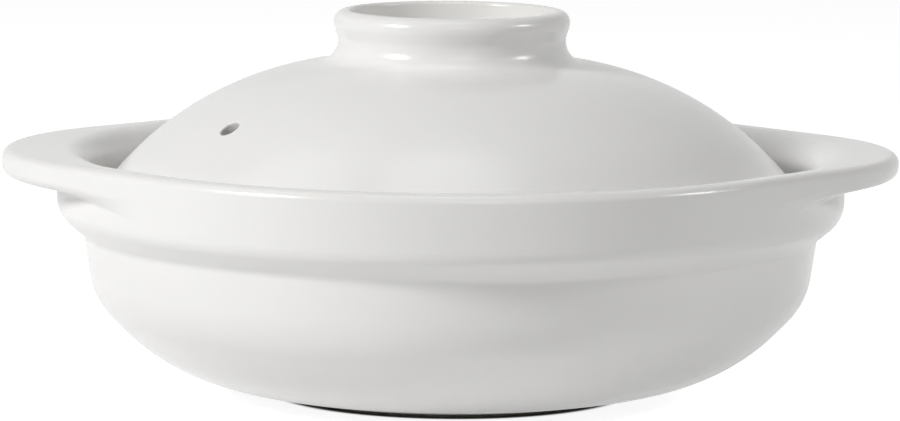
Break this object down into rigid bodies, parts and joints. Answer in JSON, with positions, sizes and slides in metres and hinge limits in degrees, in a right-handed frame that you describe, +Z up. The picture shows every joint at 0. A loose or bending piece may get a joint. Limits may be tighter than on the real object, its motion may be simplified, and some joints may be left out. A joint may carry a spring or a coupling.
{
  "type": "ceramic cooking pot",
  "caption": "Shallow round stovetop pot in white glazed ceramic, with a stepped collar, broad ears at the rim and a loose domed lid with a ring knob and a vent hole.",
  "frame": {"origin": "middle of the foot ring, in the plane the pot stands on", "axes": "+X through the middle of the right ear, -Y towards the front of the pot, +Z up along the axis of the bowl, the lid and the knob"},
  "size_m": [0.2852, 0.25, 0.122],
  "materials": {
    "pot_glaze": "satin white glaze, bare clay on the foot ring",
    "lid_glaze": "satin white glaze, bare clay on the seat"
  },
  "bodies": {
    "pot": {"pot_bowl": "pot_glaze", "left_ear": "pot_glaze", "right_ear": "pot_glaze"},
    "lid": {"lid": "lid_glaze", "knob_ring": "lid_glaze"}
  },
  "joints": [
    {"name": "lid_lift", "type": "slide", "parent": "pot", "child": "lid", "axis": [0, 0, 1], "range_m": [0, 0.12]}
  ]
}
